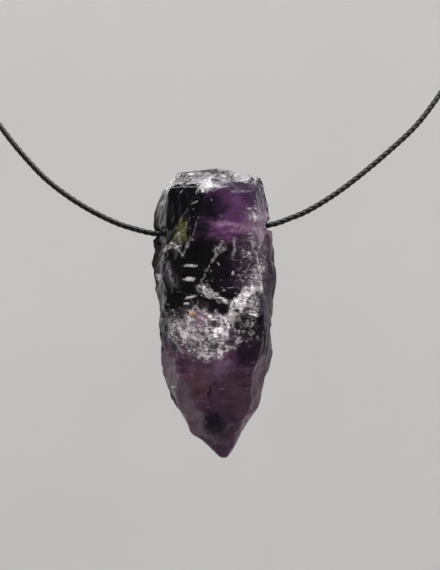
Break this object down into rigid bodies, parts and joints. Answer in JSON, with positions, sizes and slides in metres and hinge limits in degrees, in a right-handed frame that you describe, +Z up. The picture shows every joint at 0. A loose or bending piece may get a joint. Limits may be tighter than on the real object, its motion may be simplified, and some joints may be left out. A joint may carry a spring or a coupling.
{
  "type": "crystal point pendant",
  "caption": "Rough pointed crystal drilled across its broad end, hung free on a thin waxed cord loop that is closed by a knot at the nape.",
  "frame": {"origin": "the nape: the point on the neck side of the closing knot, where the cord loop lies on the back of the neck that holds it up", "axes": "+Z up, -Y the way the wearer faces and the crystal's front looks, +X to the right of a viewer who faces the wearer"},
  "size_m": [0.1168, 0.127, 0.1398],
  "materials": {
    "amethyst": "glossy broken faces with frosted patches",
    "waxed_cord": "waxed, twisted"
  },
  "bodies": {
    "cord_loop": {"neck_cord": "waxed_cord", "nape_knot": "waxed_cord"},
    "crystal": {"crystal_point": "amethyst"}
  },
  "joints": [
    {"name": "crystal_swing", "type": "hinge", "parent": "cord_loop", "child": "crystal", "pos_m": [0, -0.115, -0.1], "axis": [0.9971, 0, 0.0767], "range_deg": [-90, 90]}
  ]
}
